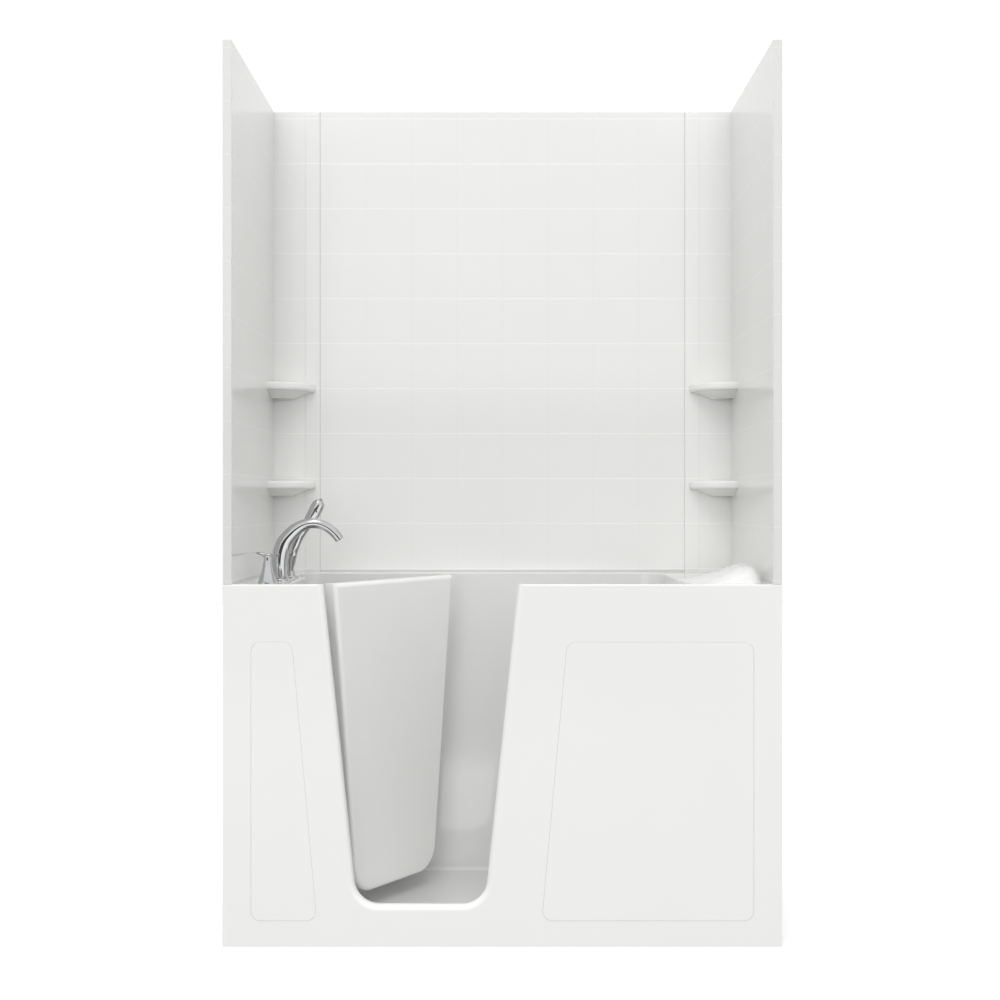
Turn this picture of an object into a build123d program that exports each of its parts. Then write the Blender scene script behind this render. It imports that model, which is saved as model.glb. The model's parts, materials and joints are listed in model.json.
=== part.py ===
from build123d import *
import math
import os

# Walk-in jetted bath with a moulded alcove surround, in millimetres.
# X runs along the front (right positive), Y from front to back, Z up from the floor.
# Depth means the distance behind the front plane of the apron.

# ------------------------------------------------------------- driving dimensions
TUB_W = 1524.0  # overall width, fills a 60 in alcove
TUB_D = 711.2  # overall depth, 28 in
DECK_Z = 987.0  # deck height above the floor
TOP_Z = 2470.0  # top of the wall surround
SKIN = 6.0  # moulded skin of the tub
FLANGE = 24.5  # width of the side panels' front flange
BACK_FACE = 700.0  # depth of the back wall's tiled face
CORNER_W = 149.0  # width of a corner panel
TILE_X = 146.9  # tile pitch across the walls
TILE_Z = 145.25  # tile pitch up the walls
TILE_Z0 = 2304.0  # highest horizontal tile joint
SHELF_R = 136.0  # corner shelf radius
SHELF_TOPS = (1590.0, 1279.0)
FLOOR_Z = 55.0  # foot-well floor
SEAT_Z = 477.0  # seat height
COVE = 12.0  # cove radius along the foot well and the seat
DOOR_CX = -223.5  # centre line of the door opening
DOOR_HALF = 266.5  # half width of the opening at deck level
DOOR_SLOPE = 0.105  # taper of the opening's sides
SILL_Z = 113.0  # lowest edge of the opening
SILL_R = 68.0  # corner radius of the opening
RIM_R = 16.5  # rounded rim of the apron round the opening
DOOR_T = 45.0  # door thickness
DOOR_FACE = 30.5  # depth of the closed door's outer face
HINGE_X = -506.0  # vertical hinge axis
HINGE_D = 78.0
DOOR_OPEN = 55.5  # opening angle in the modelled position, degrees

HX = TUB_W / 2

os.makedirs("parts", exist_ok=True)


# ------------------------------------------------------------- helpers
def yy(depth):
    return depth - TUB_D / 2


def pt(p):
    return Vector(p[0], yy(p[1]), p[2])


def bx(x0, x1, d0, d1, z0, z1):
    return Pos((x0 + x1) / 2, yy((d0 + d1) / 2), (z0 + z1) / 2) * Box(x1 - x0, d1 - d0, z1 - z0)


def rod(p, q, r):
    a, b = pt(p), pt(q)
    return Plane(origin=a, z_dir=b - a) * Cylinder(r, (b - a).length, align=(Align.CENTER, Align.CENTER, Align.MIN))


def tube(p, q, ro, ri):
    return rod(p, q, ro) - rod(p, q, ri)


def cone(p, q, r0, r1):
    a, b = pt(p), pt(q)
    return Plane(origin=a, z_dir=b - a) * Cone(r0, r1, (b - a).length, align=(Align.CENTER, Align.CENTER, Align.MIN))


def ball(p, r):
    return Pos(*pt(p)) * Sphere(r)


def save(name, *shapes):
    solids = [s for shape in shapes for s in shape.solids()]
    export_step(solids[0] if len(solids) == 1 else Compound(children=solids), f"parts/{name}.step")
    print(name, len(solids))


def along(a, b, t):
    return tuple(a[i] + (b[i] - a[i]) * t for i in range(3))


def groove(p, q, n, w=3.4, wb=1.5, dep=1.2):
    """A trapezoid bar from p to q that cuts a tile joint into a face with outward normal n."""
    a, b = pt(p), pt(q)
    d = (b - a).normalized()
    nv = Vector(*n)
    w1 = w / 2 + 0.5 * (w - wb) / 2 / dep
    pl = Plane(origin=a, x_dir=nv.cross(d), z_dir=d)
    return extrude(pl * Polygon((-w1, 0.5), (w1, 0.5), (wb / 2, -dep), (-wb / 2, -dep), align=None), (b - a).length)


def u_face(half_top, z_bot, r, z_top=DECK_Z, d=0.0):
    """The opening's outline: open-topped taper with rounded lower corners, on a vertical plane at depth d."""
    low = half_top - DOOR_SLOPE * (DECK_Z - z_bot)
    top = half_top + DOOR_SLOPE * (z_top - DECK_Z)
    pl = Plane(origin=(DOOR_CX, yy(d), 0), x_dir=(1, 0, 0), z_dir=(0, -1, 0))
    sk = Polygon((-low, z_bot), (low, z_bot), (top, z_top), (-top, z_top), align=None)
    if r:
        sk = fillet(sk.vertices().sort_by(Axis.Y)[:2], r)
    return pl * sk


def u_solid(half_top, z_bot, r, d0, d1, z_top=DECK_Z):
    return extrude(u_face(half_top, z_bot, r, z_top, d0), -(d1 - d0))


def at_depth(edge, depth, tol=0.05):
    b = edge.bounding_box()
    return abs(b.min.Y - yy(depth)) < tol and abs(b.max.Y - yy(depth)) < tol


def try_fillet(part, edges, radii, label):
    for r in radii:
        try:
            out = fillet(edges, r)
            if all(s.is_valid for s in out.solids()) and len(out.solids()) == len(part.solids()):
                return out
        except Exception as err:
            print("  fillet", label, r, "skipped:", type(err).__name__)
    return part


def mirrored(shape):
    return mirror(shape, about=Plane.YZ)


def half(origin, normal):
    """Everything on the side of a plane that its normal points to."""
    return Plane(origin=origin, z_dir=normal) * Box(6000, 6000, 6000, align=(Align.CENTER, Align.CENTER, Align.MIN))


def zone(x0=-3000, x1=3000, d0=-3000, d1=3000, z0=-3000, z1=3000):
    return bx(x0, x1, d0, d1, z0, z1)


def sectioned(shape, regions):
    """A moulding as touching sections: each region takes its share, the last section is what is left."""
    out, rest = [], list(shape.solids())
    for region in regions:
        left = []
        for s in rest:
            box = s.bounding_box()
            rb = region.bounding_box()
            apart = any(
                getattr(box.min, k) >= getattr(rb.max, k) - 1e-6 or getattr(box.max, k) <= getattr(rb.min, k) + 1e-6
                for k in "XYZ"
            )
            if apart:
                left.append(s)
                continue
            kept = [q for q in (s - region).solids() if 1 < q.volume < s.volume * 1.001]
            taken = [q for q in s.intersect(region).solids() if 1 < q.volume < s.volume * 1.001] if s.intersect(region) else []
            total = sum(q.volume for q in kept + taken)
            if not taken or abs(total - s.volume) > 5 + s.volume * 1e-4:
                if taken:
                    print("  section kept whole", round(s.volume), round(total))
                left.append(s)
                continue
            out += taken
            left += kept
        rest = left
    return out + rest


def elbow(p, er):
    """A square pipe elbow of half width er."""
    b = bx(p[0] - er, p[0] + er, p[1] - er, p[1] + er, p[2] - er, p[2] + er)
    return try_fillet(b, b.edges(), (3.0, 2.0), "elbow")


def run(points, r, er):
    """Straight runs of pipe along the axes, with an elbow at every inner point."""
    out = []
    last = len(points) - 2
    for i in range(last + 1):
        a, b = Vector(*points[i]), Vector(*points[i + 1])
        d = (b - a).normalized()
        a2 = a + d * er if i > 0 else a
        b2 = b - d * er if i < last else b
        out.append(rod((a2.X, a2.Y, a2.Z), (b2.X, b2.Y, b2.Z), r))
    return out + [elbow(p, er) for p in points[1:-1]]


# ------------------------------------------------------------- wall surround
def tile_rows():
    return [TILE_Z0 - TILE_Z * k for k in range(9)]


def side_panel():
    """Left panel: a 5 mm moulded skin with a front flange, top flange and hidden ribs."""
    xi = -HX + FLANGE
    p = bx(xi - 5, xi, 0, BACK_FACE, DECK_Z, TOP_Z)
    p += bx(-HX, xi, 0, 6, DECK_Z, TOP_Z)
    p += bx(-HX, xi, 0, BACK_FACE, TOP_Z - 6, TOP_Z)
    p += bx(-HX, xi, 0, BACK_FACE, DECK_Z, DECK_Z + 6)
    p += bx(-HX, xi, BACK_FACE - 6, BACK_FACE, DECK_Z, TOP_Z)
    for d in (232, 460):
        p += bx(-HX, xi, d, d + 5, DECK_Z, TOP_Z)
    front = [e for e in p.edges() if at_depth(e, 0) and e.length > 800]
    p = try_fillet(p, front, (2.5, 1.5), "side panel front")
    cuts = [groove((xi, 6, z), (xi, BACK_FACE, z), (1, 0, 0)) for z in tile_rows()]
    cuts += [
        groove((xi, BACK_FACE - TILE_X * k, DECK_Z), (xi, BACK_FACE - TILE_X * k, TOP_Z - 6), (1, 0, 0))
        for k in range(1, 5)
    ]
    return p - cuts


left_wall = side_panel()
save("left_wall_panel", left_wall)
save("right_wall_panel", mirrored(left_wall))

seam = HX - FLANGE - CORNER_W  # half width of the back panel, 588.5
back = bx(-seam + 0.75, seam - 0.75, BACK_FACE, BACK_FACE + 5, DECK_Z, TOP_Z)
back += bx(-seam + 0.75, seam - 0.75, BACK_FACE, TUB_D, TOP_Z - 6, TOP_Z)
for x in (-440, -147, 147, 440):
    back += bx(x - 20, x + 20, BACK_FACE + 4, TUB_D, DECK_Z, TOP_Z)
cuts = [groove((-seam, BACK_FACE, z), (seam, BACK_FACE, z), (0, -1, 0)) for z in tile_rows()]
cuts += [groove((TILE_X * k, BACK_FACE, DECK_Z), (TILE_X * k, BACK_FACE, TOP_Z), (0, -1, 0)) for k in range(-3, 4)]
save("back_wall_panel", back - cuts)


def corner_panel():
    """Left corner panel with its two moulded quarter-round shelves."""
    x0, x1 = -HX + FLANGE, -seam - 0.75
    face = BACK_FACE - 2
    p = bx(x0, x1, face, BACK_FACE + 5, DECK_Z, TOP_Z)
    band = bx(x1 - 46, x1 - 2, face - 2, face + 1, DECK_Z + 4, TOP_Z - 4)
    band = try_fillet(band, [e for e in band.edges() if at_depth(e, face - 2)], (1.8, 1.0), "corner band")
    p += band
    p += bx(x0, x1, face, TUB_D, TOP_Z - 6, TOP_Z)
    p += bx(x0 + 50, x1 - 50, BACK_FACE + 4, TUB_D, DECK_Z, TOP_Z)
    for top in SHELF_TOPS:
        cx, cy = x0, yy(face)
        quad = Pos(cx, cy, top - 25) * Box(SHELF_R + 5, SHELF_R + 5, 60, align=(Align.MIN, Align.MAX, Align.CENTER))
        disc = Pos(cx, cy, top - 13) * Cylinder(SHELF_R, 26)
        rim = [e for e in disc.edges() if e.geom_type == GeomType.CIRCLE]
        disc = try_fillet(disc, rim, (9.0, 6.0), "shelf rim")
        dish = Pos(cx, cy, top) * Cylinder(SHELF_R - 13, 5)
        dish = try_fillet(dish, [dish.edges().filter_by(GeomType.CIRCLE).sort_by(Axis.Z)[0]], (2.2, 1.5), "shelf dish")
        under = Pos(cx, cy, top - 26 - 11) * Cone(SHELF_R - 70, SHELF_R - 16, 22)
        under = try_fillet(under, [under.edges().filter_by(GeomType.CIRCLE).sort_by(Axis.Z)[0]], (9.0, 5.0), "shelf under")
        p += ((disc - dish) & quad) + (under & quad)
    return p


left_corner = corner_panel()
save("left_corner_panel", left_corner)
save("right_corner_panel", mirrored(left_corner))


def bead(p, q, n1, n2, s=5.0):
    """A small triangular bead along p-q, lying in the corner between two faces with outward directions n1 and n2."""
    a, b = pt(p), pt(q)
    v1, v2 = Vector(*n1) * s, Vector(*n2) * s
    f = Face(Wire.make_polygon([a, a + v1, a + v2], close=True))
    return extrude(f, (b - a).length, dir=(b - a).normalized())


xi = HX - FLANGE
beads = [bx(-seam - 0.75, -seam + 0.75, BACK_FACE + 0.9, BACK_FACE + 5, DECK_Z, TOP_Z)]
beads.append(bead((-xi, 8, DECK_Z), (-xi, BACK_FACE - 8, DECK_Z), (1, 0, 0), (0, 0, 1)))
beads = beads + [mirrored(b) for b in beads]
beads.append(bead((-seam + 2, BACK_FACE, DECK_Z), (seam - 2, BACK_FACE, DECK_Z), (0, -1, 0), (0, 0, 1)))
save("surround_sealant", *beads)

# ------------------------------------------------------------- front apron
PANEL_GAP = 0.4


def panel_face(points, r, grow, d):
    pl = Plane(origin=(0, yy(d), 0), x_dir=(1, 0, 0), z_dir=(0, -1, 0))
    sk = Polygon(*points, align=None)
    sk = fillet(sk.vertices(), r)
    if grow:
        sk = offset(sk, grow)
    return pl * sk


LEFT_PANEL = [(-685, 71), (-505, 71), (-573, 831), (-685, 831)]
RIGHT_PANEL = [(107, 71), (685, 71), (685, 830), (176, 830)]
BAND = 46.0  # width of the thick band round the opening
BAND_D = 20.0  # its depth

# the band is made taller than the deck, its rim rounded, then trimmed at deck height
band = u_solid(DOOR_HALF + BAND, SILL_Z - BAND, SILL_R + BAND, 0, BAND_D, DECK_Z + 60)
band -= u_solid(DOOR_HALF, SILL_Z, SILL_R, -5, BAND_D + 5, DECK_Z + 90)
outline = u_face(DOOR_HALF, SILL_Z, SILL_R, DECK_Z + 60, 0).faces()[0].outer_wire()
rim = [
    e
    for e in band.edges()
    if at_depth(e, 0) and outline.distance_to(Vertex(*(e @ 0.5))) < 0.2 and (e @ 0.5).Z < DECK_Z + 59
]
band = try_fillet(band, rim, (RIM_R, 14.0, 10.0, 6.0), "apron rim")
band &= bx(-HX, HX, -1, BAND_D + 1, 0, DECK_Z)
apron = bx(-HX, HX, 0, 6, 0, DECK_Z) - u_solid(DOOR_HALF + BAND, SILL_Z - BAND, SILL_R + BAND, -5, 10, DECK_Z + 20)
apron += band
for z0, z1 in ((0, 6), (34, 40)):
    apron += bx(-HX, HX, 5, 22, z0, z1)
for x in (-HX, HX - 6, 690, -696):
    apron += bx(x, x + 6, 5, 20, 0, DECK_Z - 48)
# rounded top front edge
edge_cut = bx(-HX - 1, HX + 1, -1, 3.5, DECK_Z - 3.5, DECK_Z + 1) - rod((-HX - 2, 3.5, DECK_Z - 3.5), (HX + 2, 3.5, DECK_Z - 3.5), 3.5)
apron -= edge_cut
for pts in (LEFT_PANEL, RIGHT_PANEL):
    apron -= extrude(panel_face(pts, 27, 0, -2), -12)
    ledge = extrude(panel_face(pts, 27, 8, 6), -3) - extrude(panel_face(pts, 27, -14, 5), -6)
    apron += ledge
# the apron in sections round the opening: below it, beside its rounded corners, and beside its straight edges
CORNER_Z = (118.0, SILL_Z + SILL_R)
apron_zones = [zone(z1=CORNER_Z[0])]
for z0, z1 in (CORNER_Z, (CORNER_Z[1], 3000)):
    apron_zones += [zone(x1=DOOR_CX, z0=z0, z1=z1), zone(x0=DOOR_CX, z0=z0, z1=z1)]
save("front_apron", *sectioned(apron, apron_zones))

left_panel = extrude(panel_face(LEFT_PANEL, 27, -PANEL_GAP, 0), -5.6)
right_panel = extrude(panel_face(RIGHT_PANEL, 27, -PANEL_GAP, 0), -5.6)
left_panel = try_fillet(left_panel, [e for e in left_panel.edges() if at_depth(e, 0)], (0.6, 0.4), "left panel")
right_panel = try_fillet(right_panel, [e for e in right_panel.edges() if at_depth(e, 0)], (0.6, 0.4), "right panel")
save("left_access_panel", left_panel)
save("right_access_panel", right_panel)

# ------------------------------------------------------------- tub shell
LEFT_AT = ((-590.0, FLOOR_Z), (-628.0, DECK_Z))  # inner left wall: (x, z) low and high
RISER_AT = ((78.0, FLOOR_Z), (90.0, SEAT_Z))
REST_AT = ((470.0, SEAT_Z), (505.0, DECK_Z))
BACK_AT = ((584.0, FLOOR_Z), (640.0, DECK_Z))  # (depth, z)


def on_line(pair, z):
    (a, za), (b, zb) = pair
    return a + (b - a) * (z - za) / (zb - za)


def basin(t, ztop=1100.0):
    """The space inside the tub, grown by t outwards."""
    pts = [
        (on_line(LEFT_AT, FLOOR_Z - t) - t, FLOOR_Z - t),
        (on_line(RISER_AT, FLOOR_Z - t) + t, FLOOR_Z - t),
        (on_line(RISER_AT, SEAT_Z - t) + t, SEAT_Z - t),
        (on_line(REST_AT, SEAT_Z - t) + t, SEAT_Z - t),
        (on_line(REST_AT, ztop) + t, ztop),
        (on_line(LEFT_AT, ztop) - t, ztop),
    ]
    pl = Plane(origin=(0, yy(26 - t), 0), x_dir=(1, 0, 0), z_dir=(0, -1, 0))
    sk = Polygon(*pts, align=None)
    nose = min(sk.vertices(), key=lambda v: (v.X - pts[2][0]) ** 2 + (v.Y - pts[2][1]) ** 2)
    sk = fillet(nose, 30 - t)
    body = extrude(pl * sk, -900)
    d0, d1 = on_line(BACK_AT, FLOOR_Z) + t, on_line(BACK_AT, DECK_Z) + t
    slope = math.degrees(math.atan2(d1 - d0, DECK_Z - FLOOR_Z))
    cut = Pos(0, yy(d0), FLOOR_Z) * Rot(-slope, 0, 0) * Box(3000, 2000, 4000, align=(Align.CENTER, Align.MIN, Align.CENTER))
    return body - cut


def long_edge(part, x, depth, z, tol=6.0):
    """The edge that passes closest to a point."""
    v = Vertex(x, yy(depth), z)
    return min(part.edges(), key=lambda e: e.distance_to(v))


def soften(vol, t):
    zc = 700.0
    e = long_edge(vol, on_line(LEFT_AT, zc) - t, on_line(BACK_AT, zc) + t, zc)
    vol = try_fillet(vol, [e], (60.0 + t, 40.0), "basin left back")
    e = long_edge(vol, on_line(REST_AT, zc) + t, on_line(BACK_AT, zc) + t, zc)
    vol = try_fillet(vol, [e], (90.0 + t, 60.0), "basin right back")
    return vol


inner = soften(basin(0), 0)
outer = soften(basin(SKIN), SKIN)
low = [
    e
    for e in inner.edges()
    if e.center().Z < 1050 and e.bounding_box().max.Z < SEAT_Z + 2 and not (e.geom_type == GeomType.LINE and abs(e.center().Z - SEAT_Z) < 60 and abs(e.tangent_at(0.5).Y) > 0.9 and e.center().X < 200)
]
inner2 = try_fillet(inner, low, (COVE, 8.0), "basin coves")
if inner2 is inner:
    floor_edges = [e for e in inner.edges() if abs(e.center().Z - FLOOR_Z) < 1]
    inner2 = try_fillet(inner, floor_edges, (COVE, 8.0), "basin floor coves")
inner = inner2

deck = bx(-HX, HX, 6, BACK_FACE + 5, DECK_Z - SKIN, DECK_Z)
EAR_D = 384.0  # the wider part of the deck at the front left, under the filler set
shell = deck + (outer & bx(-HX, HX, 6, 720, FLOOR_Z - SKIN, DECK_Z))
for x0, x1, d0, d1 in ((-HX, -HX + 6, 6, 705), (HX - 6, HX, 6, 705), (-HX, HX, 699, 705)):
    shell += bx(x0, x1, d0, d1, DECK_Z - 45, DECK_Z)
shell -= inner
ear = bx(-660, -586, 26, EAR_D, DECK_Z - SKIN, DECK_Z)
ear = try_fillet(ear, [long_edge(ear, -586, EAR_D, DECK_Z - 3)], (36.0,), "deck ear")
shell += ear
shell += bx(-592, -586, 26, EAR_D - 36, DECK_Z - 60, DECK_Z - SKIN)
shell -= u_solid(DOOR_HALF, SILL_Z, SILL_R, 0, 40, DECK_Z + 20)
shell -= u_solid(DOOR_HALF + BAND, SILL_Z - BAND, SILL_R + BAND, 0, BAND_D, DECK_Z + 20)
edges = [
    e
    for e in shell.edges()
    if abs(e.center().Z - DECK_Z) < 0.05
    and abs(e.bounding_box().max.Z - e.bounding_box().min.Z) < 0.05
    and e.center().Y > yy(27)
    and e.center().Y < yy(660)
    and abs(e.center().X) < 640
]
shell = try_fillet(shell, edges, (4.0, 2.5, 1.5), "deck edge")
# moulded ledge line across the back wall of the basin
zl = 592.0
dl = on_line(BACK_AT, zl)
shell -= groove((-560, dl, zl), (420, dl, zl), (0, -1, 0.06), w=6.0, wb=1.5, dep=1.6)

# ------------------------------------------------------------- raised head rest on the right of the deck
def rest_section(depth, k, lift):
    prof = [(508, -1.0), (540, 5.5), (575, 13.5), (610, 24.0), (640, 36.0), (664, 45.0), (684, 48.0), (702, 42.0), (715, 27.0), (723, 10.0), (727, -1.0)]
    cx = 640.0
    pts = [(cx + (x - cx) * k, DECK_Z + max(z, 0.0) * lift) for x, z in prof]
    pl = Plane(origin=(0, yy(depth), 0), x_dir=(1, 0, 0), z_dir=(0, -1, 0))
    top = Spline(*pts, tangents=((1, 0.12), (0.12, -1)))
    return pl * make_face([top, Line(pts[-1], pts[0])])


head = loft([rest_section(26, 0.60, 0.30), rest_section(60, 0.86, 0.74), rest_section(120, 1.0, 1.0), rest_section(210, 1.0, 0.98), rest_section(290, 0.86, 0.70), rest_section(345, 0.55, 0.25)])
head = head & bx(400, HX - FLANGE - 0.5, 20, 400, DECK_Z, DECK_Z + 200)
save("head_rest", head)

# ------------------------------------------------------------- water jets
JET_R = 24.0


def wall_frame(kind, x, depth, z):
    """A plane on the basin's inner face: origin on the face, z_dir into the tub."""
    if kind == "rest":
        s = (REST_AT[1][0] - REST_AT[0][0]) / (REST_AT[1][1] - REST_AT[0][1])
        return Plane(origin=(on_line(REST_AT, z), yy(depth), z), x_dir=(0, 1, 0), z_dir=(-1, 0, s))
    if kind == "riser":
        s = (RISER_AT[1][0] - RISER_AT[0][0]) / (RISER_AT[1][1] - RISER_AT[0][1])
        return Plane(origin=(on_line(RISER_AT, z), yy(depth), z), x_dir=(0, 1, 0), z_dir=(-1, 0, s))
    s = (BACK_AT[1][0] - BACK_AT[0][0]) / (BACK_AT[1][1] - BACK_AT[0][1])
    return Plane(origin=(x, yy(on_line(BACK_AT, z)), z), x_dir=(1, 0, 0), z_dir=(0, -1, s))


JETS = [
    wall_frame("rest", 0, 230, 640),
    wall_frame("rest", 0, 430, 640),
    wall_frame("riser", 0, 230, 270),
    wall_frame("riser", 0, 430, 270),
]
MID = (Align.CENTER, Align.CENTER, Align.MIN)


def cyl(pl, r, z0, z1, x=0.0, y=0.0):
    return pl * (Pos(x, y, z0) * Cylinder(r, z1 - z0, align=MID))


jet_bodies, jet_rings, jet_nozzles = [], [], []
for i, pl in enumerate(JETS):
    shell -= cyl(pl, JET_R + 0.2, -20, 10)
    body = cyl(pl, JET_R, -56, 0) + cyl(pl, 31, -14, -SKIN - 0.4)
    body -= cyl(pl, 21.2, -26, 1)
    body -= cyl(pl, 9, -44, -25)
    jet_bodies.append(body)
    ring = cyl(pl, 34, 0.0, 4.5)
    ring = try_fillet(ring, [ring.edges().filter_by(GeomType.CIRCLE).sort_by(lambda e: -(e.center() - pl.origin).dot(pl.z_dir))[0]], (3.2, 2.0), "jet ring")
    ring -= cyl(pl, 16.4, -1, 6)
    jet_rings.append(ring)
    noz = cyl(pl, 20.8, -24, -1.0) + cyl(pl, 16.0, -1.0, 7.0)
    noz = try_fillet(noz, [max(noz.edges().filter_by(GeomType.CIRCLE), key=lambda e: (e.center() - pl.origin).dot(pl.z_dir))], (2.5,), "nozzle")
    tilt = Plane(origin=pl.origin, x_dir=pl.x_dir, z_dir=pl.z_dir) * Pos(2.5, 0, 0) * Rot(0, 12, 0)
    bore = tilt * (Pos(0, 0, -40) * Cylinder(5.5, 60, align=MID))
    cup = pl * (Pos(0, 0, 1.5) * Cone(5.5, 12.5, 6.0, align=MID))
    for k in range(4):
        a = math.radians(90 * k + 45)
        noz -= cyl(pl, 1.6, 1.5, 9, 13.2 * math.cos(a), 13.2 * math.sin(a))
    jet_nozzles.append(noz - bore - cup)
save("jet_fittings", *(jet_bodies + jet_rings))
for i, n in enumerate(jet_nozzles):
    save(f"jet_nozzle_{i + 1}", n)

# suction fitting low on the riser
suc = wall_frame("riser", 0, 330, 130)
SUCTION_X = 122.0  # where the fitting meets its pipe
shell -= cyl(suc, 30.2, -20, 10)
suction = cyl(suc, 50, 0, 5)
suction = try_fillet(suction, [max(suction.edges().filter_by(GeomType.CIRCLE), key=lambda e: (e.center() - suc.origin).dot(suc.z_dir))], (3.5, 2.0), "suction")
suction += cyl(suc, 30, -48, 1) - cyl(suc, 24, -37, 2)
suction -= bx(SUCTION_X, 200, 250, 410, 60, 200)
for ring_r, n in ((12, 6), (22, 12), (34, 18)):
    for k in range(n):
        a = 2 * math.pi * k / n
        suction -= cyl(suc, 2.4, -6 if ring_r < 24 else 3, 9, ring_r * math.cos(a), ring_r * math.sin(a))
save("suction_fitting", suction)

# ------------------------------------------------------------- waste: drain, stopper and overflow
DRAIN = (-515.0, 400.0)
TAIL_R = 19.05  # 1 1/2 in waste tailpiece
TAIL_Z = (4.0, 26.0)
shell -= rod((*DRAIN, 30), (*DRAIN, 70), 21.2)
drain = rod((*DRAIN, FLOOR_Z), (*DRAIN, FLOOR_Z + 3), 36)
drain = try_fillet(drain, [drain.edges().filter_by(GeomType.CIRCLE).sort_by(Axis.Z)[-1]], (2.4, 1.5), "drain")
drain += rod((*DRAIN, TAIL_Z[1]), (*DRAIN, FLOOR_Z + 1), 21)
drain -= rod((*DRAIN, 20), (*DRAIN, 70), 16.5)
drain -= rod((*DRAIN, FLOOR_Z - 5), (*DRAIN, 70), 19.2)
save("drain_body", drain)
stopper = rod((*DRAIN, FLOOR_Z - 2), (*DRAIN, FLOOR_Z + 4), 18.6) + rod((*DRAIN, 36), (*DRAIN, FLOOR_Z), 4.0)
stopper = try_fillet(stopper, [stopper.edges().filter_by(GeomType.CIRCLE).sort_by(Axis.Z)[-1]], (3.0, 2.0), "stopper")
save("drain_stopper", stopper)
# waste pipe: tailpiece below the drain, branch to the overflow on the outside of the left wall
OVER_Z = 880.0
OVER_D = DRAIN[1]
ox = on_line(LEFT_AT, OVER_Z)
so = (LEFT_AT[0][0] - LEFT_AT[1][0]) / (LEFT_AT[1][1] - LEFT_AT[0][1])
over = Plane(origin=(ox, yy(OVER_D), OVER_Z), x_dir=(0, 1, 0), z_dir=(1, 0, so))
shell -= cyl(over, 16.2, -20, 10)
PX, PZ0 = -668.0, 36.0
tail = tube((*DRAIN, TAIL_Z[0]), (*DRAIN, TAIL_Z[1]), TAIL_R, 16.5)
branch = rod((PX + 12, DRAIN[1], PZ0), (DRAIN[0] - 8, DRAIN[1], PZ0), 9.0) - rod((*DRAIN, 20), (*DRAIN, 52), 21)
head_box = bx(PX - 20, PX + 22, OVER_D - 22, OVER_D + 22, OVER_Z - 26, OVER_Z + 26)
head_box = try_fillet(head_box, head_box.edges().filter_by(Axis.Z), (6.0,), "overflow head")
neck = (cyl(over, 16, -40, 0) & bx(PX + 22, -500, OVER_D - 40, OVER_D + 40, 800, 960)) - cyl(over, 7.2, -14, 2)
riser_pipe = rod((PX, OVER_D, PZ0 + 12), (PX, OVER_D, OVER_Z - 26), 9.0)
save("waste_and_overflow", tail, branch, elbow((PX, DRAIN[1], PZ0), 12), riser_pipe, head_box, neck)
plate = cyl(over, 36, 0.0, 6.0)
plate = try_fillet(plate, [max(plate.edges().filter_by(GeomType.CIRCLE), key=lambda e: (e.center() - over.origin).dot(over.z_dir))], (4.5, 3.0), "overflow plate")
for a in (60, 90, 120, 240, 270, 300):
    plate -= cyl(over, 3.4, -1, 8, 27 * math.cos(math.radians(a)), 27 * math.sin(math.radians(a)))
plate -= cyl(over, 6.3, -1, 8)
save("overflow_plate", plate)
knob = cyl(over, 21, 6.4, 20.0) + cyl(over, 6.24, -6, 7)
knob = try_fillet(knob, [max(knob.edges().filter_by(GeomType.CIRCLE), key=lambda e: (e.center() - over.origin).dot(over.z_dir))], (4.0, 2.5), "overflow knob")
for k in range(8):
    a = math.radians(45 * k)
    knob -= cyl(over, 4.0, 5.5, 24, 22.5 * math.cos(a), 22.5 * math.sin(a))
save("overflow_knob", knob)

# ------------------------------------------------------------- door, built closed and turned to its open position
def swing(shape):
    return shape.rotate(Axis((HINGE_X, yy(HINGE_D), 0), (0, 0, 1)), DOOR_OPEN)


DH, DZ, DR = 274.0, 100.0, 78.0
DTOP = DECK_Z - 2
mid = DOOR_FACE + 23.0
rear = DOOR_FACE + DOOR_T
outer_skin = u_solid(DH, DZ, DR, DOOR_FACE, mid, DTOP)
outer_skin = try_fillet(outer_skin, [e for e in outer_skin.edges() if at_depth(e, DOOR_FACE)], (12.0, 9.0, 6.0), "door front")
core_a = u_solid(DH - 5, DZ + 5, DR - 5, DOOR_FACE + 5, mid, DTOP - 5)
save("door_outer_shell", swing(outer_skin - core_a))
inner_skin = u_solid(DH, DZ, DR, mid, rear, DTOP)
inner_skin = try_fillet(inner_skin, [e for e in inner_skin.edges() if at_depth(e, rear)], (8.0, 6.0), "door rear")
core_b = u_solid(DH - 5, DZ + 5, DR - 5, mid, rear - 5, DTOP - 5)
save("door_core", swing(u_solid(DH - 5, DZ + 5, DR - 5, DOOR_FACE + 5, rear - 5, DTOP - 5)))

gasket = u_solid(DOOR_HALF + 7.0, SILL_Z - 7.0, SILL_R + 7, 26, 30, DECK_Z - 4) - u_solid(DOOR_HALF + 1.0, SILL_Z - 1.0, SILL_R + 1, 25, 31, DECK_Z + 5)
ge = [e for e in gasket.edges() if at_depth(e, 30)]
gasket = try_fillet(gasket, ge, (2.0, 1.5), "gasket")
save("door_gasket", gasket)

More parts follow.
